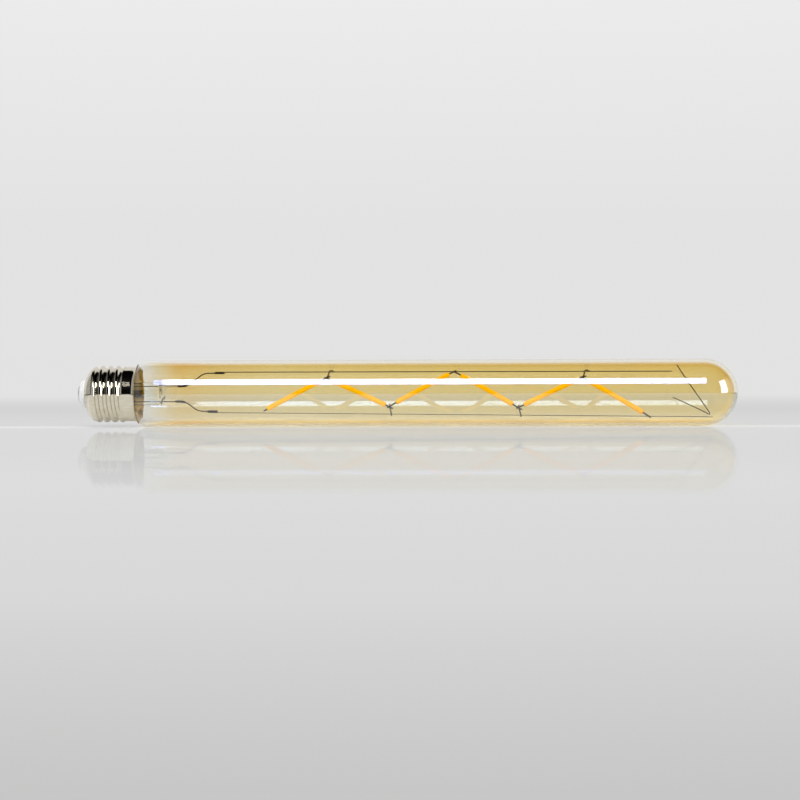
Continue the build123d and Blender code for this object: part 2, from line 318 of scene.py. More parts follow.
@dataclass(frozen=True)
class GlassFinish:
    """Clear glass whose tint changes along the bulb, and which lets lamp light through."""

    name: str
    tints: tuple[tuple[float, Colour], ...]
    shade: Colour
    ior: float = 1.45
    length: float = 0.3
    gloss_tint: Colour = (1.0, 1.0, 1.0)
    coated: bool = False
    coat_share: float = 0.8
    least_slant: float = 0.3

    def material(self) -> bpy.types.Material:
        """Build the glass material.

        Returns:
            The material.
        """
        made = bpy.data.materials.new(self.name)
        made.use_nodes = True
        nodes = made.node_tree.nodes
        graph = Graph(made.node_tree)
        shader = nodes["Principled BSDF"]
        place = graph.node("ShaderNodeTexCoord").outputs["Object"]
        share = graph.math("DIVIDE", graph.axes(place)["X"], self.length)
        stops = tuple((x * MM / self.length, tint) for x, tint in self.tints)
        tint = graph.ramp(share, stops)
        if self.coated:
            tint = self.on_inside(graph, tint)
        graph.fill(shader, {
            "Base Color": tint, "Roughness": 0.0, "IOR": self.ior, "Transmission Weight": 1.0,
            "Specular Tint": (*self.gloss_tint, 1.0),
        })
        clear = graph.node("ShaderNodeBsdfTransparent", {"Color": (*self.shade, 1.0)})
        by_lamp = graph.node("ShaderNodeLightPath").outputs["Is Shadow Ray"]
        both = graph.blend(by_lamp, shader.outputs[0], clear.outputs[0])
        graph.feed(nodes["Material Output"].inputs["Surface"], both)
        return made

    def on_inside(self, graph: Graph, tint: bpy.types.NodeSocket) -> bpy.types.NodeSocket:
        """Keep most of a tint to the coated inside, deeper where the coat is seen at a slant.

        Args:
            graph: The material's graph.
            tint: Colour of the coat seen straight on.

        Returns:
            The colour socket.
        """
        facing = graph.node("ShaderNodeLayerWeight").outputs["Facing"]
        slant = graph.math("MAXIMUM", graph.math("SUBTRACT", 1.0, facing), self.least_slant)
        path = graph.math("DIVIDE", self.coat_share, slant)
        # The lustre attribute also holds painted reflection: a thinner coat below the axis pales
        # the lower half.
        coat = graph.node("ShaderNodeAttribute", attribute_name=LUSTRE_AND_PAINTED_REFLECTION).outputs["Fac"]
        depth = graph.span(coat, 0.0, 1.0, 1.0 - self.coat_share, path)
        return graph.node("ShaderNodeGamma", {"Color": tint, "Gamma": depth}).outputs[0]


class Palette:
    """One material for each slot of the record, built once."""

    def __init__(self) -> None:
        """Build every material."""
        amber = (
            (30.0, (1.0, 1.0, 0.99)),
            (37.0, (0.98, 0.88, 0.60)),
            (46.0, (0.96, 0.72, 0.30)),
            (62.0, (0.96, 0.77, 0.36)),
            (90.0, (0.976, 0.82, 0.41)),
            (130.0, (0.972, 0.80, 0.372)),
            (262.0, (0.958, 0.757, 0.317)),
        )
        clear = ((0.0, (0.98, 0.99, 0.985)), (300.0, (0.98, 0.99, 0.985)))
        finishes: dict[Slot, Finish | GlassFinish] = {
            Slot.AMBER_GLASS: GlassFinish(
                "amber lustre glass", amber, (0.982, 0.935, 0.82), ior=1.7,
                gloss_tint=(0.7, 0.8, 1.0), coated=True),
            Slot.STEM_GLASS: GlassFinish("clear stem glass", clear, (0.98, 0.98, 0.98), ior=1.1),
            Slot.NICKEL: Finish(
                "bright nickel", (0.78, 0.73, 0.61), (0.70, 0.65, 0.53), metallic=1.0,
                rough=(0.07, 0.08), grain=900.0, stretch=0.3, relief=0.015,
                lining=(0.55, 0.335, 0.01)),
            Slot.CONTACT: Finish(
                "contact nickel", (0.80, 0.78, 0.73), (0.66, 0.64, 0.60), metallic=1.0,
                rough=(0.22, 0.32), grain=2600.0, relief=0.04),
            Slot.INSULATOR: Finish(
                "white insulator", (0.85, 0.85, 0.85), (0.80, 0.80, 0.79), rough=(0.3, 0.45),
                grain=500.0),
            Slot.CEMENT: Finish(
                "basing cement", (0.58, 0.41, 0.06), (0.47, 0.32, 0.035), rough=(0.5, 0.8),
                grain=900.0, relief=0.5, relief_depth=0.0002),
            Slot.LEAD: Finish(
                "lead wire", (0.05, 0.04, 0.03), (0.10, 0.08, 0.06), metallic=1.0,
                rough=(0.3, 0.5), grain=900.0, stretch=0.1, relief=0.2),
            Slot.RAIL: Finish(
                "rail wire", (0.05, 0.04, 0.03), (0.11, 0.09, 0.065), metallic=1.0,
                rough=(0.28, 0.45), grain=900.0, stretch=0.1, relief=0.2),
            # The orange coating's glow is painted light: the strips glow though they are no lamp,
            # so they look evenly lit.
            Slot.PHOSPHOR: Finish(
                "orange coating", (0.6, 0.31, 0.0006), (0.6, 0.34, 0.0012), rough=(0.5, 0.65),
                grain=1500.0, relief=0.3, gloss=0.05, glow=0.85),
            Slot.TAB: Finish(
                "stamped tab", (0.04, 0.035, 0.028), (0.08, 0.07, 0.06), metallic=1.0,
                rough=(0.3, 0.5), grain=900.0, stretch=0.2, relief=0.2),
            Slot.BOARD: Finish(
                "green board", (0.04, 0.17, 0.07), (0.05, 0.21, 0.09), rough=(0.3, 0.45),
                grain=600.0),
            Slot.CHIP: Finish(
                "black moulding", (0.025, 0.025, 0.027), (0.04, 0.04, 0.04), rough=(0.45, 0.6),
                grain=900.0),
            Slot.RESISTOR: Finish(
                "resistor coat", (0.17, 0.31, 0.41), (0.22, 0.36, 0.45), rough=(0.3, 0.45),
                grain=700.0),
            Slot.COPPER: Finish(
                "copper wire", (0.62, 0.30, 0.15), (0.52, 0.24, 0.12), metallic=1.0,
                rough=(0.25, 0.4), grain=900.0, stretch=0.2, relief=0.2),
        }
        self.materials = {slot: finish.material() for slot, finish in finishes.items()}

    def dress_node(self, node: str, slot: Slot) -> None:
        """Give a CAD node its slot's material.

        Args:
            node: Name of the node.
            slot: Slot whose material it gets.
        """
        piece = frame["nodes"][node]
        for place in piece.material_slots:
            place.material = self.materials[slot]
        if not piece.material_slots:
            piece.data.materials.append(self.materials[slot])
        log.info("%s keeps its shape, in %s", node, slot.value)

    def finish_piece(self, piece: bpy.types.Object, slot: Slot, *nodes: str) -> None:
        """Hand a new piece to the frame in place of its CAD nodes.

        Args:
            piece: The finished mesh object.
            slot: Slot of the record that it takes its finish from.
            nodes: CAD nodes that it stands for.
        """
        if not piece.data.materials:
            piece.data.materials.append(self.materials[slot])
        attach(piece, BODY)
        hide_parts(*nodes)
        faces = len(piece.data.polygons)
        log.info("%s stands for %s, %d faces", piece.name, ", ".join(nodes), faces)


def mesh_object(name: str, mesh: bpy.types.Mesh) -> bpy.types.Object:
    """Put a mesh into the scene.

    Args:
        name: The object's name.
        mesh: Its mesh.

    Returns:
        The new object.
    """
    made = bpy.data.objects.new(name, mesh)
    bpy.context.scene.collection.objects.link(made)
    return made


def arc(centre: Pair, radius: float, start: float, end: float, steps: int) -> list[Pair]:
    """Points of an arc in the half plane of axis and radius.

    Args:
        centre: Centre as axis place and radius.
        radius: The arc's radius.
        start: First angle in degrees, from the axis direction.
        end: Last angle in degrees.
        steps: Number of straight steps.

    Returns:
        The arc's points.
    """
    angles = [math.radians(start + (end - start) * step / steps) for step in range(steps + 1)]
    return [(centre[0] + radius * math.cos(a), centre[1] + radius * math.sin(a)) for a in angles]


def revolve(name: str, profile: list[Pair], segments: int, closed: bool) -> bpy.types.Object:
    """Turn a profile round the bulb's axis into a smooth closed mesh.

    Args:
        name: The object's name.
        profile: Axis place and radius of each point in millimetres. Points on the axis are poles.
        segments: Number of steps round the axis.
        closed: Whether the last point joins the first, as for a ring.

    Returns:
        The mesh object.
    """
    form = bmesh.new()
    rings = []
    for along, radius in profile:
        if radius < ON_AXIS:
            rings.append([form.verts.new((along * MM, 0.0, 0.0))])
            continue
        turns = [2 * math.pi * step / segments for step in range(segments)]
        rings.append([
            form.verts.new((along * MM, radius * MM * math.cos(a), radius * MM * math.sin(a)))
            for a in turns
        ])
    pairs = list(zip(rings, rings[1:]))
    if closed:
        pairs.append((rings[-1], rings[0]))
    for first, second in pairs:
        for step in range(segments):
            after = (step + 1) % segments
            corners = [
                first[step % len(first)], first[after % len(first)],
                second[after % len(second)], second[step % len(second)],
            ]
            unique = list(dict.fromkeys(corners))
            if len(unique) > 2:
                form.faces.new(unique)
    bmesh.ops.recalc_face_normals(form, faces=form.faces)
    for face in form.faces:
        face.smooth = True
    mesh = bpy.data.meshes.new(name)
    form.to_mesh(mesh)
    form.free()
    return mesh_object(name, mesh)


def sharpen(piece: bpy.types.Object, degrees: float) -> None:
    """Mark edges sharper than an angle, so that smooth shading stops there.

    Args:
        piece: The mesh object.
        degrees: The angle between faces.
    """
    form = bmesh.new()
    form.from_mesh(piece.data)
    for edge in form.edges:
        if len(edge.link_faces) == 2 and edge.calc_face_angle(0.0) > math.radians(degrees):
            edge.smooth = False
    form.to_mesh(piece.data)
    form.free()


class NodesPiece:
    """A piece made by a Geometry Nodes tree on a starting mesh."""

    def __init__(self, name: str) -> None:
        """Start an empty tree with one geometry input and output.

        Args:
            name: Name of the tree.
        """
        self.tree = bpy.data.node_groups.new(name, "GeometryNodeTree")
        self.face = self.tree.interface
        self.face.new_socket("Geometry", in_out="INPUT", socket_type="NodeSocketGeometry")
        self.face.new_socket("Geometry", in_out="OUTPUT", socket_type="NodeSocketGeometry")
        self.graph = Graph(self.tree)
        self.inputs = self.graph.node("NodeGroupInput")

    def size(self, name: str, kind: str = "NodeSocketFloat") -> bpy.types.NodeSocket:
        """Add a named input, and give its socket inside the tree."""
        self.face.new_socket(name, in_out="INPUT", socket_type=kind)
        return self.inputs.outputs[name]

    def end(self, geometry: bpy.types.NodeSocket) -> None:
        """Close the tree: realize, smooth, set the material and put the result out.

        Args:
            geometry: The finished geometry.
        """
        material = self.size("Material", "NodeSocketMaterial")
        real = self.graph.node("GeometryNodeRealizeInstances", {0: geometry})
        smooth = self.graph.node("GeometryNodeSetShadeSmooth", {0: real.outputs[0]})
        sources = {"Geometry": smooth.outputs[0], "Material": material}
        dressed = self.graph.node("GeometryNodeSetMaterial", sources)
        self.graph.node("NodeGroupOutput", {0: dressed.outputs[0]})

    def make(self, name: str, start: bpy.types.Mesh, values: dict[str, object]) -> bpy.types.Object:
        """Run the tree on a starting mesh and keep the result as a plain mesh.

        Args:
            name: The finished object's name.
            start: Mesh that the tree starts from.
            values: Value of each named input.

        Returns:
            The finished mesh object.
        """
        source = mesh_object(name + ".start", start)
        modifier = source.modifiers.new("shape", "NODES")
        modifier.node_group = self.tree
        for item in self.face.items_tree:
            if item.item_type == "SOCKET" and item.in_out == "INPUT" and item.name in values:
                modifier[item.identifier] = values[item.name]
        seen = source.evaluated_get(bpy.context.evaluated_depsgraph_get())
        mesh = bpy.data.meshes.new_from_object(seen)
        mesh.name = name
        source.modifiers.remove(modifier)
        bpy.data.objects.remove(source)
        form = bmesh.new()
        form.from_mesh(mesh)
        bmesh.ops.recalc_face_normals(form, faces=form.faces)
        form.to_mesh(mesh)
        form.free()
        return mesh_object(name, mesh)


@dataclass
class Envelope:
    """The blown glass: neck, shoulder, long tube and round end. Sizes in millimetres."""

    palette: Palette
    length: float = CAD_BOX[1].x / MM
    radius: float = CAD_BOX[1].z / MM
    wall: float = 1.5
    neck_wall: float = 0.95
    full_wall_from: float = 60.0
    neck_radius: float = 10.8
    neck_start: float = 12.2
    shoulder_start: float = 23.2
    shoulder_end: float = 31.7
    segments: int = 160
    dome_steps: int = 40
    shoulder_steps: int = 24
    tube_steps: int = 24
    crease: float = 50.0
    # Painted reflection: below the axis the coat is thinned so the lower half looks paler, as the
    # table's reflection makes it; a thin full line stays along the very bottom.
    coat_and_painted_reflection_stops: tuple[Pair, ...] = (
        (-1.0, 1.0), (-0.985, 1.0), (-0.95, 0.05), (-0.76, 0.05), (-0.66, 0.55), (-0.46, 0.72),
        (-0.28, 0.5), (-0.04, 0.52), (0.02, 1.0), (1.0, 1.0),
    )

    def outer_at(self, along: float) -> float:
        """Outer radius of the neck, shoulder or tube.

        Args:
            along: Place on the axis.

        Returns:
            The radius.
        """
        share = (along - self.shoulder_start) / (self.shoulder_end - self.shoulder_start)
        share = min(max(share, 0.0), 1.0)
        eased = share * share * (3 - 2 * share)
        return self.neck_radius + (self.radius - self.neck_radius) * eased

    def outline(self, neck_inset: float, inset: float) -> list[Pair]:
        """Half outline from the neck's end to the tip of the round end.

        Args:
            neck_inset: How far it lies inside the outer outline at the neck.
            inset: The same along the tube and round its end.

        Returns:
            Axis places and radii.
        """
        dome = self.length - self.radius
        span = self.shoulder_end - self.shoulder_start
        places = [self.neck_start]
        places += [self.shoulder_start + span * step / self.shoulder_steps
                   for step in range(self.shoulder_steps + 1)]
        places += [self.shoulder_end + (dome - self.shoulder_end) * step / self.tube_steps
                   for step in range(1, self.tube_steps)]
        points = []
        for place in places:
            grown = (place - self.shoulder_end) / (self.full_wall_from - self.shoulder_end)
            grown = min(max(grown, 0.0), 1.0)
            depth = neck_inset + (inset - neck_inset) * grown
            points.append((place, self.outer_at(place) - depth))
        points += arc((dome, 0.0), self.radius - inset, 90, 0, self.dome_steps)
        points[-1] = (self.length - inset, 0.0)
        return points

    def build(self) -> None:
        """Make the wall from its outer and inner outlines and dress it."""
        inner = self.outline(self.neck_wall, self.wall)
        profile = self.outline(0.0, 0.0) + inner[::-1]
        piece = revolve("amber_tube", profile, self.segments, closed=True)
        sharpen(piece, self.crease)
        self.coat_and_painted_reflection_inside(piece)
        self.palette.finish_piece(piece, Slot.AMBER_GLASS, "glass_envelope")

    def coat_and_painted_reflection_at(self, height: float) -> float:
        """How thick the lustre is at a height inside the tube; thinned below the axis as painted
        reflection.

        Args:
            height: Height over the axis as a share of the bore's radius.

        Returns:
            The thickness as a share of the full coat.
        """
        for (low, first), (high, second) in zip(self.coat_and_painted_reflection_stops, self.coat_and_painted_reflection_stops[1:]):
            if height <= high:
                return first + (second - first) * max(height - low, 0.0) / (high - low)
        return self.coat_and_painted_reflection_stops[-1][1]

    def coat_and_painted_reflection_inside(self, piece: bpy.types.Object) -> None:
        """Mark the inner faces with the thickness of the lustre, thinned below the axis as painted
        reflection.

        Args:
            piece: The glass mesh.
        """
        mark = piece.data.attributes.new(LUSTRE_AND_PAINTED_REFLECTION, "FLOAT", "FACE")
        dome = (self.length - self.radius) * MM
        inside = (self.radius - self.wall / 2) * MM
        for face in piece.data.polygons:
            place = face.center
            beyond = max(place.x - dome, 0.0)
            inward = Vector((beyond, place.y, place.z)).dot(face.normal) < 0.0
            near_axis = math.hypot(beyond, place.y, place.z) < inside
            # Below the axis this thickness is painted reflection that pales the lower half.
            coat = self.coat_and_painted_reflection_at(place.z / ((self.radius - self.wall) * MM))
            mark.data[face.index].value = coat if inward and near_axis else 0.0


@dataclass
class ScrewShell:
    """The cap's shell, rolled from sheet: shoulder, knuckle thread, skirt and flared rim."""

    palette: Palette
    start: float = 3.7
    mouth_radius: float = 6.9
    thread_start: float = 7.7
    pitch: float = 3.629
    turns: float = 4.0
    depth: float = 1.1
    steepness: float = 1.5
    sheet_radius: float = 12.45
    sheet: float = 0.3
    skirt: float = 3.5
    rim: float = 2.1
    rim_flare: float = 1.4
    shoulder_bulge: float = 0.9
    shoulder_share: float = 0.2
    around: int = 192
    along: int = 161
    last_row: float = 0.9999
    weld: float = 0.001
    crease: float = 60.0

    def tree(self) -> NodesPiece:
        """Build the node tree that rolls a grid into the threaded shell.

        Returns:
            The tree and its inputs.
        """
        piece = NodesPiece("rolled screw shell")
        graph = piece.graph
        size = {
            name: piece.size(name)
            for name in ("Arc X", "Arc R", "Arc Radius", "Arc From", "Arc To", "Thread Start",
                         "Thread End", "Pitch", "Depth", "Sheet Radius", "Sheet", "Skirt End",
                         "Rim End", "Flare Radius", "Steepness")
        }
        grid = graph.node("GeometryNodeMeshGrid", {
            "Vertices X": piece.size("Along", "NodeSocketInt"),
            "Vertices Y": piece.size("Around", "NodeSocketInt"),
        })
        place = graph.axes(grid.outputs["UV Map"])
        last_ring = graph.math("GREATER_THAN", place["X"], self.last_row)
        loop = graph.math("MULTIPLY", place["X"], graph.math("SUBTRACT", 1.0, last_ring))
        outer = graph.math("LESS_THAN", loop, 0.5)
        there = graph.math("MULTIPLY", loop, 2.0)
        back = graph.math("SUBTRACT", 2.0, there)
        share = graph.math("MINIMUM", there, back)
        shoulder_part = graph.span(share, 0.0, self.shoulder_share, size["Arc From"],
                                   size["Arc To"])
        on_shoulder = graph.math("LESS_THAN", share, self.shoulder_share)
        arc_x, arc_r = (
            graph.math("MULTIPLY_ADD", graph.math(wave, shoulder_part), size["Arc Radius"],
                       size[centre])
            for wave, centre in (("COSINE", "Arc X"), ("SINE", "Arc R"))
        )
        straight_x = graph.span(share, self.shoulder_share, 1.0, size["Thread Start"],
                                size["Rim End"])
        angle = graph.math("MULTIPLY", place["Y"], 2 * math.pi)
        turn = graph.math("DIVIDE", graph.math("SUBTRACT", straight_x, size["Thread Start"]),
                          size["Pitch"])
        phase = graph.math("SUBTRACT", angle, graph.math("MULTIPLY_ADD", turn, 2 * math.pi,
                                                         0.5 * math.pi))
        half_pitch = graph.math("MULTIPLY", size["Pitch"], 0.5)
        fade_in = graph.span(straight_x, size["Thread Start"],
                             graph.math("ADD", size["Thread Start"], half_pitch), 0.0, 1.0, True)
        fade_out = graph.span(straight_x, graph.math("SUBTRACT", size["Thread End"], half_pitch),
                              size["Thread End"], 1.0, 0.0, True)
        swing = graph.math("MULTIPLY", graph.math("COSINE", phase), size["Steepness"])
        wave = graph.math("MULTIPLY", graph.math("SINE", swing),
                          graph.math("MULTIPLY", fade_in, fade_out))
        thread_r = graph.math("MULTIPLY_ADD", wave, graph.math("MULTIPLY", size["Depth"], 0.5),
                              size["Sheet Radius"])
        into_rim = graph.math("MAXIMUM", graph.math("SUBTRACT", straight_x, size["Skirt End"]),
                              0.0)
        squares = [graph.math("POWER", side, 2.0) for side in (size["Flare Radius"], into_rim)]
        drop = graph.math("SQRT", graph.math("SUBTRACT", *squares))
        rise = graph.math("SUBTRACT", size["Flare Radius"], drop)
        straight_r = graph.math("ADD", thread_r, rise)
        off_shoulder = graph.math("SUBTRACT", 1.0, on_shoulder)
        x, full_r = (
            graph.math("MULTIPLY_ADD", on_shoulder, bent,
                       graph.math("MULTIPLY", off_shoulder, straight))
            for bent, straight in ((arc_x, straight_x), (arc_r, straight_r))
        )
        inner = graph.math("SUBTRACT", 1.0, outer)
        radius = graph.math("SUBTRACT", full_r, graph.math("MULTIPLY", inner, size["Sheet"]))
        spot = graph.node("ShaderNodeCombineXYZ", {
            "X": x,
            "Y": graph.math("MULTIPLY", radius, graph.math("COSINE", angle)),
            "Z": graph.math("MULTIPLY", radius, graph.math("SINE", angle)),
        })
        placed = graph.node("GeometryNodeSetPosition", {
            "Geometry": grid.outputs["Mesh"], "Position": spot.outputs[0],
        })
        lined = graph.node("GeometryNodeStoreNamedAttribute", {
            "Geometry": placed.outputs[0], "Name": LINING, "Value": inner,
        }, data_type="FLOAT", domain="POINT")
        merged = graph.node("GeometryNodeMergeByDistance", {
            "Geometry": lined.outputs[0], "Distance": self.weld * MM,
        })
        piece.end(merged.outputs[0])
        return piece

    def shoulder_arc(self) -> tuple[float, float, float, float, float]:
        """Circle through the shoulder's mouth, middle and thread end.

        Returns:
            Centre place, centre radius, arc radius, first and last angle.
        """
        ax, ar = self.start, self.mouth_radius
        cx, cr = self.thread_start, self.sheet_radius
        bx = (ax + cx - self.shoulder_bulge) / 2
        br = (ar + cr + self.shoulder_bulge) / 2
        d = 2 * (ax * (br - cr) + bx * (cr - ar) + cx * (ar - br))
        a2, b2, c2 = ax * ax + ar * ar, bx * bx + br * br, cx * cx + cr * cr
        x = (a2 * (br - cr) + b2 * (cr - ar) + c2 * (ar - br)) / d
        r = (a2 * (cx - bx) + b2 * (ax - cx) + c2 * (bx - ax)) / d
        first, last = math.atan2(ar - r, ax - x), math.atan2(cr - r, cx - x)
        return x, r, math.hypot(ax - x, ar - r), first, last

    def build(self) -> None:
        """Roll the shell and dress it."""
        x, r, radius, first, last = self.shoulder_arc()
        thread_end = self.thread_start + self.turns * self.pitch
        skirt_end = thread_end + self.skirt
        flare_radius = (self.rim ** 2 + self.rim_flare ** 2) / (2 * self.rim_flare)
        lengths = {
            "Arc X": x, "Arc R": r, "Arc Radius": radius, "Thread Start": self.thread_start,
            "Thread End": thread_end, "Pitch": self.pitch, "Depth": self.depth,
            "Sheet Radius": self.sheet_radius, "Sheet": self.sheet, "Skirt End": skirt_end,
            "Rim End": skirt_end + self.rim, "Flare Radius": flare_radius,
        }
        values: dict[str, object] = {name: length * MM for name, length in lengths.items()}
        values |= {
            "Arc From": first, "Arc To": last, "Steepness": self.steepness,
            "Along": 2 * self.along, "Around": self.around + 1,
            "Material": self.palette.materials[Slot.NICKEL],
        }
        piece = self.tree().make("rolled_shell", bpy.data.meshes.new("shell start"), values)
        sharpen(piece, self.crease)
        self.palette.finish_piece(piece, Slot.NICKEL, "screw_shell")


@dataclass
class Nose:
    """The cap's white nose and the contact in its end. Sizes in millimetres."""

    palette: Palette
    face: float = 1.0
    tip_radius: float = 4.9
    neck_radius: float = 6.58
    neck: float = 3.7
    collar_radius: float = 7.9
    collar_start: float = 5.2
    collar_end: float = 6.4
    bore: float = 1.25
    contact_radius: float = 4.4
    flat_radius: float = 2.4
    shank_end: float = 6.8
    gap: float = 0.02
    segments: int = 96
    steps: int = 14
    crease: float = 40.0

    def bulged(self, first: Pair, last: Pair) -> list[Pair]:
        """Quarter of an oval from one point to another, leaving the first along the axis.

        Args:
            first: Start as axis place and radius.
            last: End as axis place and radius.

        Returns:
            Points from first to last.
        """
        turns = [0.5 * math.pi * step / self.steps for step in range(self.steps + 1)]
        return [
            (first[0] + (last[0] - first[0]) * math.sin(turn),
             last[1] + (first[1] - last[1]) * math.cos(turn))
            for turn in turns
        ]

    def build(self) -> None:
        """Make and dress the insulator and the contact."""
        nose = self.bulged((self.neck, self.neck_radius), (self.face, self.tip_radius))
        ring = nose + [
            (self.face, self.bore), (self.collar_end, self.bore),
            (self.collar_end, self.collar_radius), (self.collar_start, self.collar_radius),
            (self.collar_start, self.neck_radius),
        ]
        insulator = revolve("cap_nose", ring, self.segments, closed=True)
        sharpen(insulator, self.crease)
        self.palette.finish_piece(insulator, Slot.INSULATOR, "insulator")
        head = self.bulged((self.face, self.contact_radius), (0.0, self.flat_radius))[::-1]
        shank = self.bore - self.gap
        rivet = [(0.0, 0.0), *head, (self.face, shank), (self.shank_end, shank),
                 (self.shank_end, 0.0)]
        contact = revolve("contact_rivet", rivet, self.segments, closed=False)
        sharpen(contact, self.crease)
        self.palette.finish_piece(contact, Slot.CONTACT, "centre_contact")


@dataclass
class Cement:
    """The cement ring between the shell's mouth and the neck. Sizes in millimetres."""

    palette: Palette
    glass: Envelope
    start: float = 19.0
    end: float = 27.1
    shell_bore: float = 11.6
    skirt_start: float = 22.3
    skirt_bore: float = 12.1
    flare_start: float = 25.7
    flare_bore: float = 12.75
    gap: float = 0.03
    segments: int = 96
    steps: int = 12
    crease: float = 40.0

    def build(self) -> None:
        """Make and dress the ring."""
        span = self.end - self.start
        places = [self.end - span * step / self.steps for step in range(self.steps + 1)]
        inside = [(place, self.glass.outer_at(place) + self.gap) for place in places]
        bores = (
            (self.start, self.shell_bore), (self.skirt_start, self.shell_bore),
            (self.skirt_start, self.skirt_bore), (self.flare_start, self.skirt_bore),
            (self.end, self.flare_bore),
        )
        outside = [(place, bore - self.gap) for place, bore in bores]
        ring = revolve("cement_ring", inside + outside, self.segments, closed=True)
        sharpen(ring, self.crease)
        self.palette.finish_piece(ring, Slot.CEMENT, "basing_cement")


@dataclass
class WireMount:
    """Leads, rails, hooks, pins and strips in the tilted mount plane. Sizes in millimetres."""

    palette: Palette
    tilt: float = 35.0
    lead_start: float = 8.1
    lead_spread: float = 4.2
    lead_bend: float = 2.5
    lead_thin: float = 0.19
    lead_wire: float = 0.27
    lead_sleeve: float = 0.5
    sleeve_length: float = 4.6
    splice_length: float = 4.4
    splice_offset: float = 0.62
    upper_rail: Rail = (62.0, 12.3, 271.0, 12.05)
    lower_rail: Rail = (60.4, -10.05, 288.0, -12.6)
    upper_bends: tuple[float, float, float] = (50.2, 57.0, 66.4)
    lower_bends: tuple[float, float, float] = (49.6, 56.0, 64.8)
    upper_rail_wire: float = 0.22
    lower_rail_wire: float = 0.13
    rail_pace: float = 6.0
    lead_pace: float = 0.3
    upper_hooks: tuple[int, ...] = (1, 5)
    lower_hooks: tuple[int, ...] = (2, 4)
    upper_hook_at_joint: tuple[Pair, ...] = ((-0.6, -0.5), (0.2, 1.4))
    upper_hook_at_rail: tuple[Pair, ...] = ((0.9, 0.7), (2.1, 0.9), (2.7, -0.2))
    lower_hook_at_joint: tuple[Pair, ...] = ((-0.2, 1.4), (0.1, -1.2))
    lower_hook_at_rail: tuple[Pair, ...] = ((0.7, 0.3), (0.8, -0.7))
    hook_bend: float = 0.4
    hook_wire: float = 0.3
    first_joint: float = 84.8
    pitch: float = 29.2
    strips: int = 6
    upper_drop: float = 3.7
    lower_rise: float = 3.8
    strip_length: float = 28.6
    strip_radius: float = 1.1
    strip_offset: float = 0.42
    strip_end: float = 0.55
    strip_steps: int = 64
    strip_sides: int = 20
    pin_wire: float = 0.34
    pin_overlap: float = 1.5
    pin_overlap_on_rail: float = 0.6
    pin_overlap_first: float = -1.4
    crease: float = 50.0

    def __post_init__(self) -> None:
        """Build the tree that draws a wire along a path."""
        self.wire = NodesPiece("drawn wire")
        graph = self.wire.graph
        curve = graph.node("GeometryNodeMeshToCurve", {0: self.wire.inputs.outputs["Geometry"]})
        sides = self.wire.size("Sides", "NodeSocketInt")
        profile = graph.node("GeometryNodeCurvePrimitiveCircle",
                             {"Resolution": sides, "Radius": MM})
        thickness = graph.node("GeometryNodeInputNamedAttribute", {"Name": THICKNESS},
                               data_type="FLOAT")
        swept = graph.node("GeometryNodeCurveToMesh", {
            "Curve": curve.outputs[0], "Profile Curve": profile.outputs["Curve"],
            "Scale": thickness.outputs[0], "Fill Caps": True,
        })
        self.wire.end(swept.outputs[0])

    def spot(self, along: float, height: float, depth: float = 0.0) -> Vector:
        """Turn a place in the mount plane into one in the frame.

        Args:
            along: Place on the axis.
            height: Height in the mount plane.
            depth: Distance in front of the mount plane.

        Returns:
            The place in metres.
        """
        tilt = math.radians(self.tilt)
        return Vector((along, height * math.sin(tilt) - depth * math.cos(tilt),
                       height * math.cos(tilt) + depth * math.sin(tilt))) * MM

    def rail_at(self, rail: Rail, along: float) -> float:
        """Height of a rail in the mount plane at a place on the axis."""
        share = (along - rail[0]) / (rail[2] - rail[0])
        return rail[1] + share * (rail[3] - rail[1])

    def rounded(self, corners: list[Pair], radius: float, steps: int = 8) -> list[Pair]:
        """Round a path's inner corners.

        Args:
            corners: The path's corners in the mount plane.
            radius: Cut back along both sides of each corner.
            steps: Straight steps in each bend.

        Returns:
            The rounded path.
        """
        path = [corners[0]]
        for before, corner, after in zip(corners, corners[1:], corners[2:]):
            here = Vector(corner)
            start = here + (Vector(before) - here).normalized() * radius
            end = here + (Vector(after) - here).normalized() * radius
            for step in range(steps + 1):
                share = step / steps
                spot = start.lerp(here, share).lerp(here.lerp(end, share), share)
                path.append((spot.x, spot.y))
        return path + [corners[-1]]

    def stepped(self, path: list[Pair], pace: float) -> list[Pair]:
        """Add points to a path so that none lie further apart than a pace.

        Args:
            path: The path in the mount plane.
            pace: Greatest distance between points.

        Returns:
            The finer path.
        """
        fine = [path[0]]
        for first, second in zip(path, path[1:]):
            count = max(1, math.ceil(math.dist(first, second) / pace))
            for step in range(1, count + 1):
                share = step / count
                fine.append(tuple(a + (b - a) * share for a, b in zip(first, second)))
        return fine

    def draw(self, name: str, slot: Slot, node: str, runs: list[list[tuple[Vector, float]]],
             sides: int = 12) -> None:
        """Draw one or more wires as one piece.

        Args:
            name: The piece's name.
            slot: Slot of its finish.
            node: CAD node that it stands for.
            runs: Place and thickness along each wire.
            sides: Sides of the wire's section.
        """
        places, edges, sizes = [], [], []
        for run in runs:
            first = len(places)
            places += [place for place, _ in run]
            sizes += [size for _, size in run]
            edges += [(step, step + 1) for step in range(first, len(places) - 1)]
        mesh = bpy.data.meshes.new(name + " path")
        mesh.from_pydata(places, edges, [])
        marks = mesh.attributes.new(THICKNESS, "FLOAT", "POINT")
        for index, size in enumerate(sizes):
            marks.data[index].value = size
        values: dict[str, object] = {"Sides": sides, "Material": self.palette.materials[slot]}
        piece = self.wire.make(name, mesh, values)
        sharpen(piece, self.crease)
        self.palette.finish_piece(piece, slot, node)

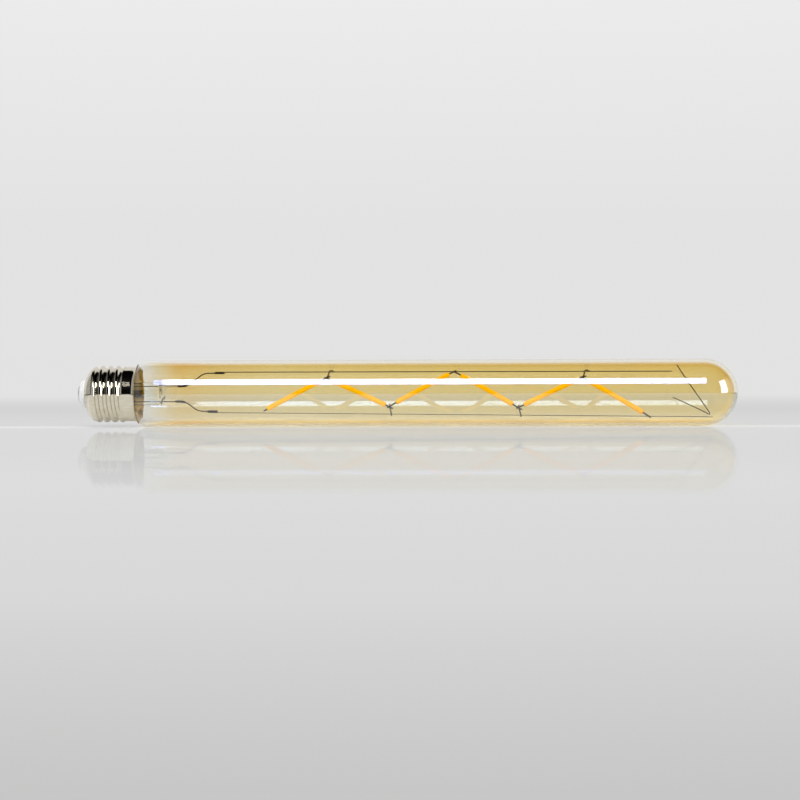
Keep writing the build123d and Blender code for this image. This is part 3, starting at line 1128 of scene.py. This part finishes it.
    def build(self) -> None:
        """Draw every wire, pin and strip."""
        self.build_leads()
        for side, rail, size in (("upper", self.upper_rail, self.upper_rail_wire),
                                 ("lower", self.lower_rail, self.lower_rail_wire)):
            path = self.stepped([rail[:2], rail[2:]], self.rail_pace)
            run = [(self.spot(*place), size) for place in path]
            self.draw(side + "_long_wire", Slot.RAIL, side + "_rail", [run])
        joints = self.joints()
        self.build_hooks(joints)
        for number in range(self.strips):
            self.build_strip(number, joints[number], joints[number + 1])

    def joints(self) -> list[Pair]:
        """Places of the zigzag's joints: ends and peak on the rails, the others on hooks.

        Returns:
            Axis place and height of each joint.
        """
        made = []
        for number in range(self.strips + 1):
            along = self.first_joint + number * self.pitch
            upper = number % 2 == 1
            height = self.rail_at(self.upper_rail if upper else self.lower_rail, along)
            if number in self.upper_hooks:
                height -= self.upper_drop
            elif number in self.lower_hooks:
                height += self.lower_rise
            made.append((along, height))
        return made

    def build_leads(self) -> None:
        """Draw the leads: thin through the stem, sleeved, bent out and thick at the splice."""
        for side, sign, rail, bends in (("upper", 1.0, self.upper_rail, self.upper_bends),
                                        ("lower", -1.0, self.lower_rail, self.lower_bends)):
            bend, rise, end = bends
            inset = -sign * self.splice_offset
            corners = [
                (self.lead_start, sign * self.lead_spread), (bend, sign * self.lead_spread),
                (rise, self.rail_at(rail, rise) + inset), (end, self.rail_at(rail, end) + inset),
            ]
            run = []
            for place in self.stepped(self.rounded(corners, self.lead_bend), self.lead_pace):
                size = self.lead_wire
                if place[0] < bend - self.sleeve_length:
                    size = self.lead_thin
                elif place[0] < bend or place[0] > end - self.splice_length:
                    size = self.lead_sleeve
                run.append((self.spot(*place), size))
            self.draw(side + "_lead", Slot.LEAD, side + "_lead_wire", [run])

    def build_hooks(self, joints: list[Pair]) -> None:
        """Draw the hooks: curled over the upper rail, straight down to the lower one.

        Args:
            joints: Places of the zigzag's joints.
        """
        for number in sorted(self.upper_hooks + self.lower_hooks):
            along, height = joints[number]
            rail = height - self.lower_rise
            at_joint, at_rail = self.lower_hook_at_joint, self.lower_hook_at_rail
            if number in self.upper_hooks:
                rail = height + self.upper_drop
                at_joint, at_rail = self.upper_hook_at_joint, self.upper_hook_at_rail
            corners = [(along + x, height + z) for x, z in at_joint]
            corners += [(along + x, rail + z) for x, z in at_rail]
            path = self.rounded(corners, self.hook_bend)
            run = [(self.spot(*place), self.hook_wire) for place in path]
            self.draw(f"bent_hook_{number}", Slot.RAIL, f"hook_{number}", [run])

    def build_strip(self, number: int, start: Pair, end: Pair) -> None:
        """Draw one light strip with rounded ends, and its two pins.

        Args:
            number: The strip's place from the cap, from 0.
            start: Joint at its left end.
            end: Joint at its right end.
        """
        depth = self.strip_offset if number % 2 == 0 else -self.strip_offset
        first, last = self.spot(*start, depth), self.spot(*end, depth)
        along = (last - first).normalized()
        middle = (first + last) / 2
        half = self.strip_length / 2
        run = []
        for step in range(self.strip_steps + 1):
            place = half * math.sin(math.pi * (step / self.strip_steps - 0.5))
            share = min((half - abs(place)) / self.strip_radius, 1.0)
            swell = math.sqrt(1.0 - (1.0 - share) ** 2)
            size = self.strip_radius * (self.strip_end + (1.0 - self.strip_end) * swell)
            run.append((middle + along * place * MM, size))
        self.draw(f"light_strip_{number + 1}", Slot.PHOSPHOR, f"filament_{number + 1}", [run],
                  self.strip_sides)
        pins = []
        for joint, tip, outwards in ((number, first, -along), (number + 1, last, along)):
            hooked = joint in self.upper_hooks + self.lower_hooks
            over = self.pin_overlap if hooked else self.pin_overlap_on_rail
            if joint == 0:
                over = self.pin_overlap_first
            root = middle + outwards * (half - self.strip_radius) * MM
            pins.append([(root, self.pin_wire), (tip + outwards * over * MM, self.pin_wire)])
        self.draw(f"strip_pins_{number + 1}", Slot.TAB, f"filament_{number + 1}_tabs", pins)


@dataclass
class KeptNodes:
    """CAD nodes whose shape is right: they get their finish only."""

    palette: Palette
    names: tuple[str, ...] = (
        "stem", "exhaust_tube", "end_brace", "driver_board", "rectifier", "driver_chip",
        "chip_capacitor", "fuse_resistor", "contact_wire", "shell_wire",
    )

    def build(self) -> None:
        """Dress each node in its slot's finish."""
        for row in frame["record"]["subparts"]:
            if row["node"] in self.names:
                self.palette.dress_node(row["node"], Slot(row["material_slot"]))


@dataclass(frozen=True)
class Lamp:
    """A soft rectangular lamp: where it stands and faces, and the level of its face."""

    name: str
    place: Point
    aim: Point
    size: Pair
    level: float
    seen: Seen
    colour: Colour = (1.0, 1.0, 1.0)


@dataclass
class Studio:
    """Floor, backdrop, lamps and camera. Lengths in metres."""

    floor: float = CAD_BOX[0].z
    floor_near: float = -3.0
    floor_far: float = 6.0
    floor_half: float = 5.0
    floor_rough: float = 0.9
    table_front: float = -0.78
    table_back: float = 0.22
    table_end: float = 0.6
    # Painted light on the table: darker towards the camera, as the lamps' light falls off, and a
    # bright strip under the bulb's foot that lightens its contact shade.
    table_stops: tuple[Pair, ...] = (
        (0.037, 0.445), (0.08, 0.485), (0.164, 0.545), (0.30, 0.572), (0.42, 0.60), (0.58, 0.605),
        (0.70, 0.625), (0.768, 0.65), (0.776, 0.73), (0.786, 0.73), (0.794, 0.61), (1.0, 0.59),
    )
    table_tint: float = 0.007
    table_middle: float = 0.15
    table_half: float = 0.3
    table_aside: float = 0.15
    table_lit: float = 0.45
    table_pale: float = 1.15
    table_glow: float = 0.66
    table_shine: float = 0.3
    backdrop_foot: Colour = (0.762, 0.762, 0.758)
    backdrop_low: Colour = (0.765, 0.765, 0.765)
    backdrop_high: Colour = (0.835, 0.835, 0.835)
    backdrop_rise: float = 0.17
    backdrop_even: float = 0.35
    fill_level: float = 0.45
    mirrored_sides: tuple[tuple[str, float, float, float, float], ...] = (
        ("Y", 0.42, 0.55, 0.0, 0.8), ("X", -0.78, -0.6, 0.45, 0.0), ("X", 0.78, 0.92, 0.0, 0.8),
    )
    mirror_share: float = 0.42
    mirror_reach: float = 0.52
    mirror_contact: float = 0.55
    mirror_foot: float = 0.03
    mirror_behind: Pair = (0.02, 0.12)
    twice_mirrored: float = 0.12
    soft_end: float = 0.045
    soft_level: float = 0.02
    strip_lift: float = 42.4
    focal: float = 90.0
    sensor: float = 36.0
    distance: float = 0.910
    yaw: float = 3.2
    elevation: float = 1.6
    roll: float = -0.235
    aim_x: float = 0.1475
    aim_z: float = -0.0031
    left_out: bpy.types.Collection | None = None

    def build(self) -> None:
        """Make the floor, the world, the lamps and the camera."""
        scene = bpy.context.scene
        scene.view_settings.view_transform = "Standard"
        self.make_floor()
        self.make_world(scene)
        self.make_lamps()
        self.make_camera(scene)

    def make_floor(self) -> None:
        """Lay a wide pale floor, which the lamps for shine and glass leave out."""
        left, right = -self.floor_half, self.floor_half
        near, far = self.floor_near, self.floor_far
        corners = [(x, y, self.floor)
                   for x, y in ((left, near), (right, near), (right, far), (left, far))]
        mesh = bpy.data.meshes.new("floor")
        mesh.from_pydata(corners, [], [(0, 1, 2, 3)])
        floor = mesh_object("floor", mesh)
        mesh.materials.append(self.floor_material())
        self.left_out = bpy.data.collections.new("left out by lamp faces")
        self.left_out.objects.link(floor)
        self.left_out.collection_objects[0].light_linking.link_state = "EXCLUDE"

    def floor_material(self) -> bpy.types.Material:
        """Build the floor's finish: a pale table, weakly mirroring, that ends in the backdrop.

        Returns:
            The material.
        """
        material = bpy.data.materials.new("pale floor")
        material.use_nodes = True
        nodes = material.node_tree.nodes
        graph = Graph(material.node_tree)
        shader = nodes["Principled BSDF"]
        across = graph.axes(graph.node("ShaderNodeTexCoord").outputs["Object"])
        depth = across["Y"]
        near = graph.span(depth, self.table_front, self.table_back, 0.0, 1.0)
        # The table's ramp is painted light: fall-off towards the camera and a bright strip at the
        # bulb's foot.
        table = graph.ramp(near, tuple((place, (pale, pale + self.table_tint, pale))
                                       for place, pale in self.table_stops))
        aside = graph.math("ABSOLUTE", graph.math("SUBTRACT", across["X"], self.table_middle))
        kept = graph.span(aside, self.table_half, 2 * self.table_half, 1.0, self.table_aside, True)
        seen_by = graph.node("ShaderNodeLightPath").outputs
        by_camera = seen_by["Is Camera Ray"]
        lit = graph.span(by_camera, 0.0, 1.0, self.table_pale, self.table_lit)
        narrowed = graph.mix(1.0, table, graph.math("MULTIPLY", kept, lit), "MULTIPLY")
        mirrored = graph.math("SUBTRACT", seen_by["Is Glossy Ray"], seen_by["Is Transmission Ray"])
        shine = graph.math("MULTIPLY", graph.math("MAXIMUM", mirrored, 0.0), self.table_shine)
        glow = graph.math("MULTIPLY_ADD", by_camera, self.table_glow,
                          graph.math("MULTIPLY", kept, shine))
        graph.fill(shader, {
            "Base Color": narrowed, "Roughness": self.floor_rough, "Specular IOR Level": 0.0,
            "Emission Color": table, "Emission Strength": glow,
        })
        mirror = graph.node("ShaderNodeBsdfGlossy", {"Roughness": 0.0})
        share = by_camera
        for span in ((-self.mirror_reach, 0.0, 0.0, self.mirror_share),
                     (-self.mirror_foot, 0.0, 1.0, self.mirror_contact),
                     (*self.mirror_behind, 1.0, 0.0)):
            share = graph.math("MULTIPLY", share, graph.span(depth, *span))
        table_top = graph.blend(share, shader.outputs[0], mirror.outputs[0])
        backdrop = graph.node("ShaderNodeEmission", {"Color": (*self.backdrop_foot, 1.0)})
        beyond = graph.span(depth, self.table_back, self.table_end, 0.0, 1.0, True)
        graph.feed(nodes["Material Output"].inputs["Surface"],
                   graph.blend(beyond, table_top, backdrop.outputs[0]))
        return material

    def make_world(self, scene: bpy.types.Scene) -> None:
        """Light the bulb softly from all round, and give reflections a dark front.

        Args:
            scene: The scene that gets the world.
        """
        world = bpy.data.worlds.new("studio")
        scene.world = world
        world.use_nodes = True
        graph = Graph(world.node_tree)
        parts = graph.axes(graph.node("ShaderNodeTexCoord").outputs["Generated"])
        path = graph.node("ShaderNodeLightPath").outputs
        stops = ((0.0, self.backdrop_low), (self.backdrop_even, self.backdrop_low),
                 (1.0, self.backdrop_high))
        pale = graph.ramp(graph.span(parts["Z"], 0.0, self.backdrop_rise, 0.0, 1.0), stops)
        behind: object = 0.0
        for axis, *span in self.mirrored_sides:
            behind = graph.math("MAXIMUM", behind, graph.span(parts[axis], *span, True))
        reflected = graph.math("GREATER_THAN", path["Glossy Depth"], ONCE)
        graph.fill(world.node_tree.nodes["Background"], {
            "Color": graph.mix(reflected, pale, behind),
            "Strength": graph.span(path["Is Diffuse Ray"], 0.0, 1.0, 1.0, self.fill_level),
        })

    def area(self, lamp: Lamp) -> None:
        """Add a soft rectangular lamp.

        Args:
            lamp: The lamp to add.
        """
        light = bpy.data.lights.new(lamp.name, "AREA")
        light.shape = "RECTANGLE"
        light.size, light.size_y = lamp.size
        light.energy = lamp.level * lamp.size[0] * lamp.size[1] * math.pi
        light.color = lamp.colour
        made = bpy.data.objects.new(lamp.name, light)
        made.location = lamp.place
        made.rotation_mode = "QUATERNION"
        made.rotation_quaternion = (Vector(lamp.aim) - Vector(lamp.place)).to_track_quat("-Z", "Y")
        made.visible_camera = False
        made.visible_glossy = lamp.seen is Seen.SHINE
        made.visible_transmission = lamp.seen is Seen.GLASS
        made.visible_diffuse = lamp.seen is Seen.DULL
        if lamp.seen is not Seen.DULL:
            made.light_linking.receiver_collection = self.left_out
        if lamp.seen is Seen.SHINE:
            self.soften(light)
        bpy.context.scene.collection.objects.link(made)

    def soften(self, light: bpy.types.AreaLight) -> None:
        """Fade one end of a lamp's face, and dim the face where it is mirrored twice.

        Args:
            light: The lamp's light.
        """
        light.use_nodes = True
        graph = Graph(light.node_tree)
        across = graph.axes(graph.node("ShaderNodeNewGeometry").outputs["Parametric"])
        fade = graph.span(across["X"], 0.0, self.soft_end, self.soft_level, 1.0, True)
        bounces = graph.node("ShaderNodeLightPath").outputs["Glossy Depth"]
        again = graph.math("GREATER_THAN", bounces, TWICE)
        kept = graph.span(again, 0.0, 1.0, 1.0, self.twice_mirrored)
        graph.feed(light.node_tree.nodes["Emission"].inputs["Strength"],
                   graph.math("MULTIPLY", fade, kept))

    def in_front(self, along: float, reach: float) -> Point:
        """Find the strip lamp's place over a place on the axis, at a reach from it."""
        lift = math.radians(self.strip_lift)
        return along, -reach * math.cos(lift), reach * math.sin(lift)

    def make_lamps(self) -> None:
        """Set the strip lamp in front, lamps at the round end and the left, and a wide fill."""
        lamps = (
            Lamp("strip lamp face", place=self.in_front(0.098, 1.80), aim=(0.098, 0.0, 0.0),
                 size=(0.784, 0.63), level=12.0, seen=Seen.SHINE),
            Lamp("strip lamp in glass", place=self.in_front(0.12, 1.78), aim=(0.12, 0.0, 0.0),
                 size=(0.74, 0.63), level=18.0, seen=Seen.GLASS, colour=(0.195, 0.292, 0.74)),
            Lamp("strip lamp", place=self.in_front(0.09, 1.82), aim=(0.09, 0.0, 0.0),
                 size=(0.75, 0.765), level=8.0, seen=Seen.DULL),
            Lamp("end lamp face", place=(1.02, -0.28, 0.05), aim=(0.285, 0.0, 0.0),
                 size=(0.38, 0.90), level=12.0, seen=Seen.SHINE),
            Lamp("left lamp", place=(-2.2, -0.9, 0.75), aim=(0.0, 0.0, 0.0),
                 size=(1.6, 1.2), level=1.1, seen=Seen.DULL),
            Lamp("fill lamp", place=(0.15, -0.2, 1.6), aim=(0.15, 0.0, 0.0),
                 size=(2.4, 2.0), level=1.05, seen=Seen.DULL),
        )
        for lamp in lamps:
            self.area(lamp)

    def make_camera(self, scene: bpy.types.Scene) -> None:
        """Stand the camera where the photograph was taken from.

        Args:
            scene: The scene that gets the camera.
        """
        lens = bpy.data.cameras.new("camera")
        lens.lens = self.focal
        lens.sensor_width = self.sensor
        camera = bpy.data.objects.new("camera", lens)
        turn, lift = math.radians(self.yaw), math.radians(self.elevation)
        back = Vector((math.sin(turn) * math.cos(lift), -math.cos(turn) * math.cos(lift),
                       math.sin(lift)))
        camera.location = Vector((self.aim_x, 0.0, self.aim_z)) + back * self.distance
        camera.rotation_mode = "QUATERNION"
        level = (-back).to_track_quat("-Z", "Y")
        camera.rotation_quaternion = level @ Quaternion((0.0, 0.0, 1.0), math.radians(self.roll))
        scene.collection.objects.link(camera)
        scene.camera = camera


def main() -> None:
    """Build the bulb's pieces in order, then the studio round them."""
    logging.basicConfig(level=logging.INFO, format="%(message)s")
    palette = Palette()
    glass = Envelope(palette)
    glass.build()
    ScrewShell(palette).build()
    Nose(palette).build()
    Cement(palette, glass).build()
    WireMount(palette).build()
    KeptNodes(palette).build()
    Studio().build()


if __name__ == "__main__":
    main()
